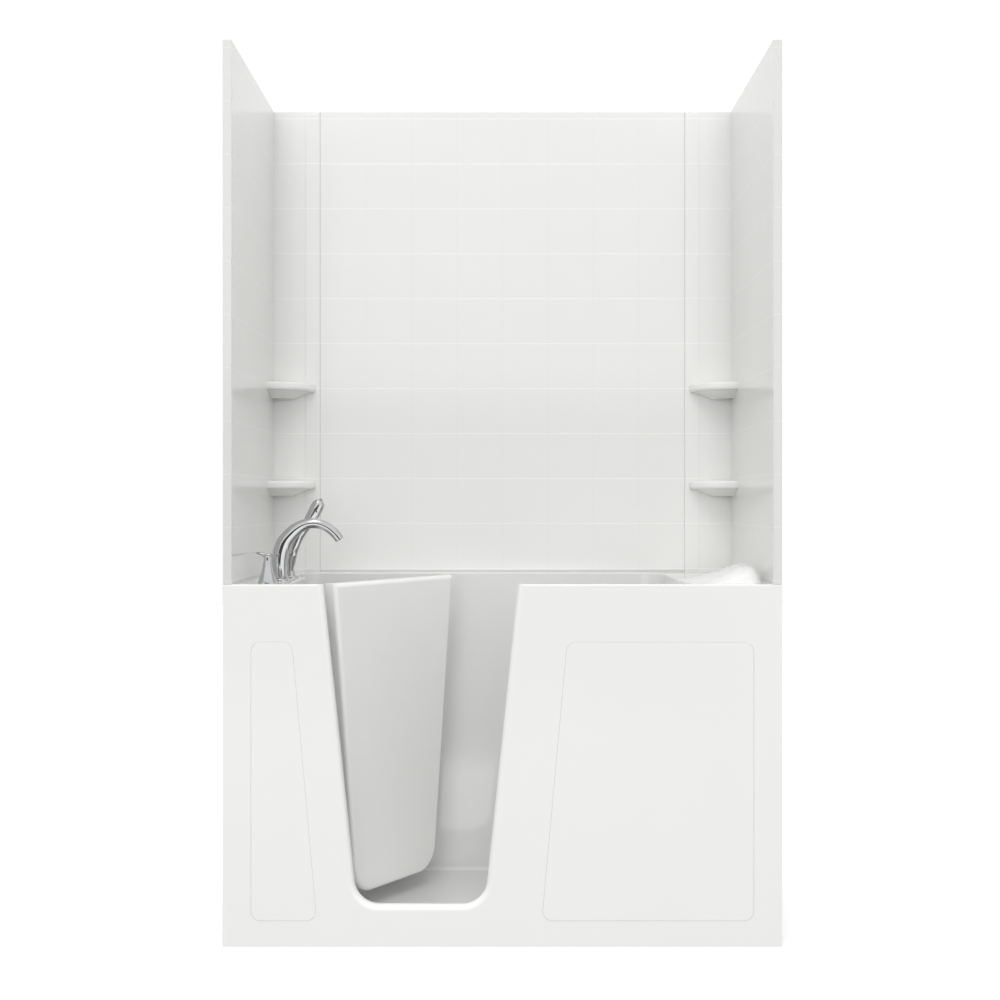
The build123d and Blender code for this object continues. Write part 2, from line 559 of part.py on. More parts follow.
# ------------------------------------------------------------- hinges
frame_leaves, door_leaves, pins, frame_screws, door_screws = [], [], [], [], []
for zc, reach in ((872.0, -432.0), (292.0, -366.0)):
    z0, z1 = zc - 50, zc + 50
    k0, k1 = zc - 18, zc + 18
    plate_ = bx(-578, -517, 26, 29, z0, z1) + bx(-520, -517, 28, 81, z0, k0 - 0.3) + bx(-520, -517, 28, 81, k1 + 0.3, z1)
    plate_ += bx(-520, -517, 28, 56, z0, z1)
    for a, b in ((z0, k0 - 0.3), (k1 + 0.3, z1)):
        plate_ += rod((HINGE_X, HINGE_D, a), (HINGE_X, HINGE_D, b), 7)
        plate_ += bx(-520, HINGE_X - 1, HINGE_D - 3, HINGE_D + 3, a, b)
    plate_ -= rod((HINGE_X, HINGE_D, z0 - 1), (HINGE_X, HINGE_D, z1 + 1), 3.0)
    leaf = bx(HINGE_X + 1, reach, rear, rear + 3, k0, k1) + rod((HINGE_X, HINGE_D, k0), (HINGE_X, HINGE_D, k1), 7)
    leaf += bx(reach - 56, reach, rear, rear + 3, z0, z1)
    leaf -= rod((HINGE_X, HINGE_D, z0 - 1), (HINGE_X, HINGE_D, z1 + 1), 3.0)
    for dz in (-36, 36):
        for xs in (-562, -536):
            s = rod((xs, 19, zc + dz), (xs, 29, zc + dz), 2.5)
            plate_ -= s
            shell -= s
            frame_screws.append(s + rod((xs, 29, zc + dz), (xs, 31.2, zc + dz), 5.0))
        for xs in (reach - 40, reach - 14):
            s = rod((xs, rear - 5, zc + dz), (xs, rear + 3, zc + dz), 2.5)
            leaf -= s
            door_screws.append((s, rod((xs, rear + 3, zc + dz), (xs, rear + 5.2, zc + dz), 5.0)))
    frame_leaves.append(plate_)
    door_leaves.append(leaf)
    pins.append(rod((HINGE_X, HINGE_D, z0), (HINGE_X, HINGE_D, z1), 2.95) + rod((HINGE_X, HINGE_D, z1), (HINGE_X, HINGE_D, z1 + 3), 5.5) + rod((HINGE_X, HINGE_D, z0 - 3), (HINGE_X, HINGE_D, z0), 5.5))
save("hinge_frame_leaves", *frame_leaves)
save("hinge_door_leaves", *[swing(l) for l in door_leaves])
save("hinge_pins", *pins)
save("hinge_frame_screws", *frame_screws)
cut_inner = inner_skin - core_b
for s, h in door_screws:
    cut_inner -= s
save("door_inner_shell", swing(cut_inner))
save("hinge_door_screws", *[swing(s + h) for s, h in door_screws])

# ------------------------------------------------------------- latch on the tub wall, right of the opening
LX, LZ = 52.0, 700.0
latch_base = rod((LX, 26, LZ), (LX, 76, LZ), 15) + bx(LX - 14, LX + 26, 26, 32, LZ - 34, LZ + 34)
latch_base += rod((LX, 76, LZ), (LX, 96, LZ), 4.0)
save("latch_base", latch_base, rod((LX, 96, LZ), (LX, 99, LZ), 9))
lever = rod((LX, 76.6, LZ), (LX, 91, LZ), 14)
lever += bx(LX - 8, LX + 8, 76.6, 85, LZ, LZ + 52)
grip = loft([
    Plane(origin=(LX, yy(84), LZ - 6), z_dir=(0, 0, -1)) * Ellipse(9, 6.5),
    Plane(origin=(LX, yy(88), LZ - 55), z_dir=(0, 0, -1)) * Ellipse(8, 6),
    Plane(origin=(LX, yy(96), LZ - 105), z_dir=(0, 0, -1)) * Ellipse(10, 6.5),
    Plane(origin=(LX, yy(100), LZ - 132), z_dir=(0, 0, -1)) * Ellipse(7, 5),
])
lever += grip
lever -= rod((LX, 70, LZ), (LX, 91.1, LZ), 4.06)
save("latch_lever", lever)

# ------------------------------------------------------------- deck-mounted filler set
SP_D = 190.0
SPX = -634.7


def section_circle(x, z, tx, tz, r, squash=1.0, depth=SP_D):
    pl = Plane(origin=(x, yy(depth), z), x_dir=(0, 1, 0), z_dir=(tx, 0, tz))
    return pl * Ellipse(r * squash, r)


spine = [
    (-634.7, 993.0, 18.6),
    (-635.6, 1008.0, 19.6),
    (-637.0, 1032.0, 21.6),
    (-635.0, 1062.0, 22.8),
    (-625.5, 1092.0, 22.3),
    (-606.5, 1118.0, 20.5),
    (-585.0, 1137.0, 18.0),
    (-566.0, 1146.5, 15.6),
    (-547.0, 1150.5, 14.4),
    (-525.0, 1149.0, 14.0),
    (-506.5, 1142.5, 13.6),
    (-489.0, 1131.0, 13.6),
    (-474.5, 1116.5, 13.4),
    (-464.5, 1104.0, 12.8),
]
secs = []
for i, (x, z, r) in enumerate(spine):
    a = spine[max(i - 1, 0)]
    b = spine[min(i + 1, len(spine) - 1)]
    tx, tz = b[0] - a[0], b[1] - a[1]
    if i == 0:
        tx, tz = 0.0, 1.0
    sq = 1.0 if i < 5 else 1.0 + 0.12 * min((i - 4) / 6, 1)
    secs.append(section_circle(x, z, tx, tz, r, sq))
spout = loft(secs)
tx, tz = spine[-1][0] - spine[-2][0], spine[-1][1] - spine[-2][1]
mouth = Plane(origin=(spine[-1][0], yy(SP_D), spine[-1][1]), x_dir=(0, 1, 0), z_dir=(tx, 0, tz))
spout -= mouth * (Pos(0, 0, -9) * Cylinder(9.5, 14, align=MID))
save("spout", spout)
collar = rod((SPX, SP_D, DECK_Z), (SPX, SP_D, DECK_Z + 6), 26.5)
collar = try_fillet(collar, [collar.edges().filter_by(GeomType.CIRCLE).sort_by(Axis.Z)[-1]], (4.5, 3.0), "spout collar")
collar -= rod((SPX, SP_D, DECK_Z - 1), (SPX, SP_D, DECK_Z + 10), 14.0)

HOT_D, COLD_D = 80.0, 290.0
HANDLES = {"hot": (-653.0, HOT_D, 110.0), "cold": (-653.0, COLD_D, 180.0)}  # x, depth, where the lever points
bases, stems = [], []


def handle_parts(x, d, aim):
    side = -1
    base = rod((x, d, DECK_Z), (x, d, DECK_Z + 5), 27)
    base = try_fillet(base, [base.edges().filter_by(GeomType.CIRCLE).sort_by(Axis.Z)[-1]], (3.0,), "handle base")
    prof = [(24.5, 0), (22.0, 8), (17.5, 22), (13.5, 38), (11.0, 52), (10.2, 57)]
    pl = Plane(origin=(x, yy(d), DECK_Z + 5), x_dir=(1, 0, 0), z_dir=(0, -1, 0))
    curve = Spline(*prof)
    face = make_face([curve, Polyline(prof[-1], (0, 57), (0, 0), prof[0])])
    bell = revolve(pl * face, axis=Axis((x, yy(d), 0), (0, 0, 1)))
    hub_z = DECK_Z + 62.4
    hub = rod((x, d, hub_z), (x, d, hub_z + 13), 10.2)
    hub = try_fillet(hub, [hub.edges().filter_by(GeomType.CIRCLE).sort_by(Axis.Z)[-1]], (5.0, 3.0), "handle hub")
    zc = hub_z + 6.5
    lever_ = loft([
        Plane(origin=(x + side * 4, yy(d), zc), x_dir=(0, 1, 0), z_dir=(side, 0, 0.0)) * Ellipse(7.0, 5.0),
        Plane(origin=(x + side * 26, yy(d), zc + 0.5), x_dir=(0, 1, 0), z_dir=(side, 0, 0.06)) * Ellipse(5.8, 4.2),
        Plane(origin=(x + side * 48, yy(d), zc + 3.0), x_dir=(0, 1, 0), z_dir=(side, 0, 0.12)) * Ellipse(7.4, 4.2),
        Plane(origin=(x + side * 64, yy(d), zc + 5.5), x_dir=(0, 1, 0), z_dir=(side, 0, 0.12)) * Ellipse(6.6, 3.6),
        Plane(origin=(x + side * 70, yy(d), zc + 6.2), x_dir=(0, 1, 0), z_dir=(side, 0, 0.12)) * Ellipse(3.0, 1.6),
    ])
    turned = lever_.rotate(Axis((x, yy(d), 0), (0, 0, 1)), aim - 180)
    return base + bell, hub + turned


for name, (x, d, aim) in HANDLES.items():
    b, h = handle_parts(x, d, aim)
    bases.append(b)
    save(f"{name}_handle", h)

# diverter knob behind the spout foot
DVX, DVD = -662.0, 246.0
dv_base = rod((DVX, DVD, DECK_Z), (DVX, DVD, DECK_Z + 4), 13) - rod((DVX, DVD, DECK_Z - 1), (DVX, DVD, DECK_Z + 5), 4.06)
dv_knob = rod((DVX, DVD, DECK_Z + 4.6), (DVX, DVD, DECK_Z + 22), 8.5)
dv_knob = try_fillet(dv_knob, dv_knob.edges().filter_by(GeomType.CIRCLE), (2.0, 1.0), "diverter")
dv_knob += rod((DVX, DVD, DECK_Z - 16), (DVX, DVD, DECK_Z + 6), 4.0)
shell -= rod((DVX, DVD, DECK_Z - 10), (DVX, DVD, DECK_Z + 1), 4.4)
save("filler_bases", collar, *bases, dv_base)
save("diverter_knob", dv_knob)

# hand shower standing in its holder: a curved body that leans over to the right
WS = (-630.6, 350.0, DECK_Z)
wand_line = Spline(
    *[(x, yy(WS[1]), z) for x, z in ((-630.6, 992.0), (-630.6, 1009.0), (-628.0, 1045.0), (-617.0, 1085.0), (-597.0, 1122.0), (-573.0, 1158.0), (-554.0, 1191.0), (-538.5, 1221.0))],
    tangents=((0, 0, 1), (0.46, 0, 0.89)),
)
WAND_R = [(992, 8.0), (1009, 8.3), (1016, 9.8), (1030, 13.2), (1048, 15.2), (1080, 15.6), (1105, 14.4), (1130, 14.2), (1152, 16.0), (1172, 18.8), (1190, 20.2), (1204, 18.6), (1214, 13.6), (1221, 6.5)]


def wand_r(z):
    for (z0, r0), (z1, r1) in zip(WAND_R, WAND_R[1:]):
        if z <= z1:
            return r0 + (r1 - r0) * (z - z0) / (z1 - z0)
    return WAND_R[-1][1]


def wand_section(t):
    o, d = wand_line @ t, wand_line % t
    r = wand_r(o.Z)
    return Plane(origin=o, x_dir=(0, 1, 0), z_dir=d) * Ellipse(r * 0.88, r)


wand = loft([wand_section(k / 26) for k in range(27)])
save("hand_shower", wand)
holder = rod(WS, (WS[0], WS[1], DECK_Z + 5), 24)
holder = try_fillet(holder, [holder.edges().filter_by(GeomType.CIRCLE).sort_by(Axis.Z)[-1]], (3.0,), "holder")
holder += cone((WS[0], WS[1], DECK_Z + 4), (WS[0], WS[1], DECK_Z + 20), 16.5, 11.5)
holder -= rod((WS[0], WS[1], DECK_Z + 4.5), (WS[0], WS[1], DECK_Z + 60), 8.9)
save("shower_holder", holder)

# valves and pipes under the deck
SUPPLY_X = -700.0
valve = []
for d in (HOT_D, COLD_D):
    valve.append(rod((-653.0, d, DECK_Z - 70), (-653.0, d, DECK_Z - SKIN), 16))
valve.append(rod((-641.5, SP_D, DECK_Z - 60), (-641.5, SP_D, DECK_Z - SKIN), 6.5))
valve.append(rod((DVX, DVD, DECK_Z - 70), (DVX, DVD, DECK_Z - 17), 13))
save("valve_bodies", *valve)
pipes = []
HOT_IN = 136.0  # the hot pipe jogs back, clear of the foot below it
pz = DECK_Z - 100
pipes += run([(-653.0, HOT_D, DECK_Z - 70), (-653.0, HOT_D, pz), (SUPPLY_X, HOT_D, pz), (SUPPLY_X, HOT_IN, pz), (SUPPLY_X, HOT_IN, 230)], 8, 12)
pipes += run([(-653.0, COLD_D, DECK_Z - 70), (-653.0, COLD_D, pz), (SUPPLY_X, COLD_D, pz), (SUPPLY_X, COLD_D, 230)], 8, 12)
for d in (HOT_IN, COLD_D):
    pipes.append(rod((SUPPLY_X, d, 196), (SUPPLY_X, d, 230), 10.4))
bridge = bx(-660, -646, HOT_D, COLD_D, DECK_Z - 62, DECK_Z - 48)
for v in valve:
    bridge -= v
pipes += [s for s in bridge.solids() if s.volume > 200]
save("supply_pipes", *pipes)

# ------------------------------------------------------------- water side: pump, heater and manifold
PD, PZ = 330.0, 130.0
suction_pipe = tube((SUCTION_X, PD, PZ), (212, PD, PZ), 24, 21)
wet = rod((212, PD, PZ), (290, PD, PZ), 64)
wet = try_fillet(wet, wet.edges().filter_by(GeomType.CIRCLE), (8.0, 4.0), "pump wet end")
wet += rod((250, PD, PZ), (250, PD, PZ + 86), 22)
wet -= rod((222, PD, PZ), (291, PD, PZ), 52)
wet -= rod((205, PD, PZ), (230, PD, PZ), 21)
wet -= rod((250, PD, PZ + 40), (250, PD, PZ + 90), 18)
save("pump_housing", wet)
motor =rod((290, PD, PZ), (560, PD, PZ), 68)
motor = try_fillet(motor, [e for e in motor.edges().filter_by(GeomType.CIRCLE) if e.center().X > 500], (14.0, 8.0), "motor end")
motor -= rod((298, PD, PZ), (550, PD, PZ), 60)
motor -= rod((280, PD, PZ), (300, PD, PZ), 9.5)
fins = []
for k in range(5):
    fins.append(tube((340 + 34 * k, PD, PZ), (346 + 34 * k, PD, PZ), 73, 67.9))
for f in fins:
    motor += f
motor += bx(380, 470, PD - 40, PD + 40, PZ + 60, PZ + 96) - rod((370, PD, PZ), (480, PD, PZ), 67)
save("pump_motor", motor)
rotor = rod((232, PD, PZ), (546, PD, PZ), 8) + rod((360, PD, PZ), (500, PD, PZ), 46)
hub_r = rod((236, PD, PZ), (246, PD, PZ), 44)
for k in range(6):
    a = math.radians(60 * k)
    vane = Pos(255, yy(PD), PZ) * Rot(math.degrees(a), 0, 0) * (Pos(0, 0, 27) * Box(20, 3, 30))
    hub_r += vane
rotor += hub_r
save("pump_rotor", rotor)
bearings = [tube((x, PD, PZ), (x + 12, PD, PZ), 20, 8.05) for x in (304, 530)]
plates = [tube((x, PD, PZ), (x + 6, PD, PZ), 60, 20) for x in (304, 532)]
save("pump_bearings", *bearings, *plates)
base_p = bx(280, 580, PD - 90, PD + 90, 47, 53)
saddle = bx(320, 336, PD - 62, PD + 62, 53, 100) + bx(520, 536, PD - 62, PD + 62, 53, 100)
saddle -= rod((300, PD, PZ), (560, PD, PZ), 68)
save("pump_base", base_p + saddle)

heater = rod((250, 350 + 60, 400), (250, 600, 400), 34)
heater = try_fillet(heater, heater.edges().filter_by(GeomType.CIRCLE), (10.0, 6.0), "heater")
save("inline_heater", heater)

R = 16.0
MZ = 508.0
MD = 664.0
CALF_X = 118.0
REST_X = 520.0
DROP_X = 168.0
LOW_Z = 205.0
wm = [suction_pipe]
# discharge: up from the pump, into the heater, out of its back end and up to the manifold
wm += run([(250, PD, PZ + 86), (250, PD, 400), (250, 410, 400)], 16, 19)
wm += run([(250, 600, 400), (250, MD, 400), (250, MD, MZ - 20)], 16, 19)
wm.append(elbow((250, MD, MZ), 20))
wm += run([(270, MD, MZ), (REST_X, MD, MZ), (REST_X, 212, MZ)], R, 20)
wm += run([(230, MD, MZ), (DROP_X, MD, MZ), (DROP_X, MD, LOW_Z), (CALF_X, MD, LOW_Z), (CALF_X, 212, LOW_Z)], R, 20)


def branch_to(jet, z_from, r, pipe_r, pipe_x):
    """An upright branch between a manifold pipe and a jet body's side."""
    c = jet.origin - jet.z_dir * 38
    d = c.Y + TUB_D / 2
    b = rod((c.X, d, z_from), (c.X, d, c.Z), r)
    b -= cyl(jet, JET_R, -60, 5)
    b -= rod((pipe_x, d + 60, z_from), (pipe_x, d - 60, z_from), pipe_r)
    return sorted(b.solids(), key=lambda s: -s.volume)[0]


wm += [branch_to(j, MZ, 9.5, R, REST_X) for j in JETS[:2]]
wm += [branch_to(j, LOW_Z, 9.5, R, CALF_X) for j in JETS[2:]]
save("water_manifold", *wm)

# ------------------------------------------------------------- air side: blower and air lines
BXc, BD, BZ = 640.0, 330.0, 640.0
blower = rod((596, BD, BZ), (684, BD, BZ), 82)
blower = try_fillet(blower, blower.edges().filter_by(GeomType.CIRCLE), (8.0, 4.0), "blower")
blower += rod((640, BD, BZ), (640, BD, BZ + 110), 22)
blower -= rod((604, BD, BZ), (676, BD, BZ), 74)
blower -= rod((640, BD, BZ + 60), (640, BD, BZ + 112), 18)
blower -= rod((590, BD, BZ), (610, BD, BZ), 26)
blower += bx(604, 676, BD - 70, BD + 70, 548, 556)
blower += bx(608, 614, BD - 50, BD + 50, 554, 570) - rod((590, BD, BZ), (690, BD, BZ), 81)
blower += tube((662, BD, BZ), (677, BD, BZ), 14, 5.05)
save("blower_housing", blower)
fan = rod((612, BD, BZ), (675, BD, BZ), 5.0) + rod((640, BD, BZ), (646, BD, BZ), 68)
for k in range(12):
    fan += Pos(628, yy(BD), BZ) * Rot(30 * k, 0, 0) * (Pos(0, 0, 50) * Box(26, 2.2, 32))
save("blower_fan", fan)
AZ, ALOW, AD = 800.0, 345.0, 668.0
air = [rod((640, BD, BZ + 110), (640, BD, AZ - 18), 15), elbow((640, BD, AZ), 18), rod((622, BD, AZ), (REST_X + 13, BD, AZ), 9), elbow((REST_X, BD, AZ), 13)]
air.append(rod((REST_X, BD - 13, AZ), (REST_X, 222, AZ), 9))
air += run([(REST_X, BD + 13, AZ), (REST_X, AD, AZ), (CALF_X, AD, AZ), (CALF_X, AD, ALOW), (CALF_X, 222, ALOW)], 9, 13)
air += [branch_to(j, AZ, 5.5, 9, REST_X) for j in JETS[:2]]
air += [branch_to(j, ALOW, 5.5, 9, CALF_X) for j in JETS[2:]]
save("air_manifold", *air)

# ------------------------------------------------------------- controls and grab bar on the inner front wall
CZ = 800.0
bezel = bx(190, 360, 26, 30, CZ - 32, CZ + 32)
bezel = try_fillet(bezel, bezel.edges().filter_by(Axis.Y), (12.0,), "bezel")
for x, r in ((215, 20.4), (282, 13.4), (330, 13.4)):
    bezel -= rod((x, 25, CZ), (x, 31, CZ), r)
save("control_bezel", bezel)
knob = rod((215, 26.4, CZ), (215, 46, CZ), 20)
knob = try_fillet(knob, [e for e in knob.edges().filter_by(GeomType.CIRCLE) if e.center().Y > yy(40)], (3.0, 2.0), "air knob")
for k in range(12):
    a = math.radians(30 * k)
    knob -= rod((215 + 21.0 * math.cos(a), 31, CZ + 21.0 * math.sin(a)), (215 + 21.0 * math.cos(a), 50, CZ + 21.0 * math.sin(a)), 2.4)
save("air_control_knob", knob)
for n, x in (("pump_button", 282), ("blower_button", 330)):
    b = rod((x, 29.5, CZ), (x, 35, CZ), 13)
    b = try_fillet(b, [e for e in b.edges().filter_by(GeomType.CIRCLE) if e.center().Y > yy(33)], (2.0, 1.0), n)
    save(n, b)
GZ = 890.0
bar = []
bar_run = rod((150, 74, GZ), (400, 74, GZ), 14)
grab = bar_run
for x in (150, 400):
    grab += ball((x, 74, GZ), 14) + rod((x, 26, GZ), (x, 74, GZ), 14) + rod((x, 26, GZ), (x, 31, GZ), 34)
save("grab_bar", grab)

box_ctl = bx(596, 700, 470, 600, 600, 800)
box_ctl = try_fillet(box_ctl, box_ctl.edges().filter_by(Axis.Z), (6.0,), "control box")
gland = rod((648, 535, 580), (648, 535, 600), 11) - rod((648, 535, 579), (648, 535, 592), 5)
save("control_box", box_ctl, gland)

# ------------------------------------------------------------- frame
S = 25.0  # square tube
base = [bx(-745, 745, d, d + S, 22, 47) for d in (58.0, 628.0)]
base += [bx(x, x + S, 58 + S, 628, 22, 47) for x in (-745.0, -430.0, 186.0, 590.0, 720.0)]
posts = [bx(x, x + S, d, d + S, 47, DECK_Z - 45) for x in (-755.0, 730.0) for d in (30.0, 676.0)]
for x in (-755.0, 730.0):
    posts.append(bx(x, x + S, 30, 58, 22, 47))
    posts.append(bx(x, x + S, 653, 701, 22, 47))
rails = [bx(x, x + S, 55, 676, DECK_Z - 70, DECK_Z - 45) for x in (-755.0, 730.0)]
seat = [bx(140, 700, d, d + S, SEAT_Z - SKIN - S, SEAT_Z - SKIN) for d in (120.0, 560.0)]
for x in (144.0, 642.0):
    seat += [bx(x, x + S, d, d + S, 47, SEAT_Z - SKIN - S) for d in (120.0, 560.0)]
    seat.append(bx(x, x + S, 83, 120, 47, 72))
bracket = [bx(604, 676, 145, 560, 540, 548), bx(642, 667, 120, 145, SEAT_Z - SKIN, 548), bx(642, 667, 560, 585, SEAT_Z - SKIN, 548)]
save("support_frame", *base, *posts, *rails, *seat, *bracket)

pads, studs, nuts = [], [], []
for x in (-715.0, -300.0, 300.0, 715.0):
    for d in (70.5, 640.5):
        pad = rod((x, d, 0), (x, d, 8), 22)
        pad = try_fillet(pad, [pad.edges().filter_by(GeomType.CIRCLE).sort_by(Axis.Z)[-1]], (3.0,), "pad")
        pads.append(pad)
        studs.append(rod((x, d, 8), (x, d, 22), 6))
        nuts.append(Pos(x, yy(d), 17) * extrude(RegularPolygon(10, 6), 5) - rod((x, d, 10), (x, d, 30), 6))
save("levelling_feet", *pads, *studs, *nuts)

# the tub moulding in sections, so that each wall, the floor, the seat and each strip of the deck is a plate of its own
def wall_zone(pair, side, t):
    """Beyond a sloping side wall's inner face, moved inwards by t; side -1 is the left wall."""
    (x0, z0), (x1, z1) = pair
    n = Vector(side * (z1 - z0), 0, -side * (x1 - x0)).normalized()
    return half(Vector(x0, 0, z0) - n * t, n)


ct = COVE + 3.0
(bd0, bz0), (bd1, bz1) = BACK_AT
bn = Vector(0, bz1 - bz0, -(bd1 - bd0)).normalized()
back_zone = half(Vector(0, yy(bd0), bz0) - bn * ct, bn)
under = DECK_Z - SKIN
lx, rx, bd = on_line(LEFT_AT, DECK_Z), on_line(REST_AT, DECK_Z), on_line(BACK_AT, DECK_Z)
zones = [
    zone(x1=lx + 18, z0=under),
    zone(x0=rx - 62, d0=bd - 66, z0=under),
    zone(x0=rx - 6, z0=under),
    zone(x1=-400, d0=bd - 18, z0=under),
    zone(d0=bd - 6, z0=under),
    zone(x1=DOOR_CX, d1=26, z0=under),
    zone(x0=DOOR_CX, d1=26, z0=under),
    zone(x1=0, d1=EAR_D + 2, z0=under),
    zone(x1=0, z0=under),
    zone(z0=under),
    zone(x1=-700),
    zone(x0=700),
    zone(d0=690),
    zone(d1=26, z1=CORNER_Z[0]),
    zone(x1=DOOR_CX, d1=26, z1=CORNER_Z[1]),
    zone(x0=DOOR_CX, d1=26, z1=CORNER_Z[1]),
    zone(x1=DOOR_CX, d1=26),
    zone(d1=26, z1=SEAT_Z - SKIN),
    zone(x0=-60, d1=26.5, z0=SEAT_Z - SKIN),
    wall_zone(LEFT_AT, -1, ct),
    back_zone & zone(z1=SEAT_Z - SKIN),
    back_zone,
    wall_zone(REST_AT, 1, ct) & zone(z0=SEAT_Z - SKIN),
    zone(x1=-560, d0=552),
    zone(z0=SEAT_Z + ct, x1=0),
    zone(z0=SEAT_Z + ct),
    zone(z0=SEAT_Z - 36),
    wall_zone(RISER_AT, 1, ct),
    zone(d1=46, z1=FLOOR_Z + 60),
    zone(z1=FLOOR_Z + 60),
]
sections = sectioned(shell, zones)
for s in sections:
    b = s.bounding_box()
    print("  section", [round(v) for v in (b.min.X, b.max.X, b.min.Y + TUB_D / 2, b.max.Y + TUB_D / 2, b.min.Z, b.max.Z)], round(s.volume))
save("tub_shell", *sections)
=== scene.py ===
import json
import math

import bmesh
import bpy
from mathutils import Matrix, Vector

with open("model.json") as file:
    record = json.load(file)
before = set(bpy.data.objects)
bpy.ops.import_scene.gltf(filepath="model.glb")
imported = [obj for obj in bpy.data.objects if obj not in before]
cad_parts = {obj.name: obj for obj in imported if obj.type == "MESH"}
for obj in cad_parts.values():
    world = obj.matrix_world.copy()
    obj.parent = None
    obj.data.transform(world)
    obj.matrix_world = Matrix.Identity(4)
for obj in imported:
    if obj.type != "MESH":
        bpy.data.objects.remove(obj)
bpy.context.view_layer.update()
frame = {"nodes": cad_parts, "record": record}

# Walk-in jetted bath in its tiled surround. Metres, the CAD model's own frame.
scene = bpy.context.scene
nodes = frame["nodes"]
DEPTH = 0.7112


def Y(depth):
    return depth - DEPTH / 2


# ------------------------------------------------------------------ camera
cam_data = bpy.data.cameras.new("camera")
cam = bpy.data.objects.new("camera", cam_data)
scene.collection.objects.link(cam)
cam.location = (0.0, -4.1016, 1.2129)
cam.rotation_euler = (math.radians(90), 0, 0)
cam_data.lens = 49.54
cam_data.sensor_width = 36
cam_data.shift_x = -0.0024
cam_data.shift_y = 0.0015
scene.camera = cam

scene.view_settings.view_transform = "Standard"
scene.view_settings.look = "None"
scene.view_settings.exposure = 0.0

# ------------------------------------------------------------------ light levels
FLOOR_GLOW = 0.30
DOME = [(0.0, 0.03), (0.38, 0.12), (0.455, 0.95), (0.475, 1.05), (1.0, 1.05)]
DOME_STRENGTH = 1.0
KEY = 42.0
FRONT = 92.0


# ------------------------------------------------------------------ materials
class Nodes:
    """A small helper that builds a material's node tree."""

    def __init__(self, name):
        self.mat = bpy.data.materials.new(name)
        self.mat.use_nodes = True
        self.tree = self.mat.node_tree
        self.tree.nodes.clear()
        self.out = self.add("ShaderNodeOutputMaterial")
        self.bsdf = self.add("ShaderNodeBsdfPrincipled")
        self.link(self.bsdf.outputs[0], self.out.inputs[0])
        self.coord = self.add("ShaderNodeTexCoord")
        self.last_normal = None

    def add(self, kind, **props):
        n = self.tree.nodes.new(kind)
        for k, v in props.items():
            setattr(n, k, v)
        return n

    def link(self, a, b):
        self.tree.links.new(a, b)

    def set(self, **values):
        for k, v in values.items():
            self.bsdf.inputs[k.replace("_", " ")].default_value = v

    def mapped(self, scale=(1, 1, 1), rot=(0, 0, 0)):
        m = self.add("ShaderNodeMapping")
        m.inputs["Scale"].default_value = scale
        m.inputs["Rotation"].default_value = rot
        self.link(self.coord.outputs["Object"], m.inputs["Vector"])
        return m.outputs[0]

    def noise(self, scale, detail=4.0, rough=0.5, stretch=(1, 1, 1), distortion=0.0):
        n = self.add("ShaderNodeTexNoise")
        n.inputs["Scale"].default_value = scale
        n.inputs["Detail"].default_value = detail
        n.inputs["Roughness"].default_value = rough
        n.inputs["Distortion"].default_value = distortion
        self.link(self.mapped(stretch), n.inputs["Vector"])
        return n.outputs["Fac"]

    def remap(self, value, lo, hi, a, b):
        r = self.add("ShaderNodeMapRange")
        r.inputs["From Min"].default_value = lo
        r.inputs["From Max"].default_value = hi
        r.inputs["To Min"].default_value = a
        r.inputs["To Max"].default_value = b
        self.link(value, r.inputs["Value"])
        return r.outputs[0]

    def ramp(self, value, stops):
        r = self.add("ShaderNodeValToRGB")
        els = r.color_ramp.elements
        while len(els) < len(stops):
            els.new(0.5)
        for e, (pos, col) in zip(els, stops):
            e.position = pos
            e.color = (*col, 1)
        self.link(value, r.inputs["Fac"])
        return r.outputs["Color"]

    def mix(self, fac, a, b, mode="MIX"):
        m = self.add("ShaderNodeMix", data_type="RGBA", blend_type=mode)
        if isinstance(fac, float):
            m.inputs[0].default_value = fac
        else:
            self.link(fac, m.inputs[0])
        for socket, v in ((m.inputs[6], a), (m.inputs[7], b)):
            if isinstance(v, tuple):
                socket.default_value = (*v, 1)
            else:
                self.link(v, socket)
        return m.outputs[2]

    def math(self, op, a, b=0.5):
        m = self.add("ShaderNodeMath", operation=op)
        for socket, v in ((m.inputs[0], a), (m.inputs[1], b)):
            if isinstance(v, (int, float)):
                socket.default_value = v
            else:
                self.link(v, socket)
        return m.outputs[0]

    def bump(self, height, distance, strength=1.0):
        b = self.add("ShaderNodeBump")
        b.inputs["Distance"].default_value = distance
        b.inputs["Strength"].default_value = strength
        self.link(height, b.inputs["Height"])
        if self.last_normal is not None:
            self.link(self.last_normal, b.inputs["Normal"])
        self.last_normal = b.outputs["Normal"]
        self.link(self.last_normal, self.bsdf.inputs["Normal"])

    def colour(self, socket):
        self.link(socket, self.bsdf.inputs["Base Color"])

    def roughness(self, socket):
        self.link(socket, self.bsdf.inputs["Roughness"])


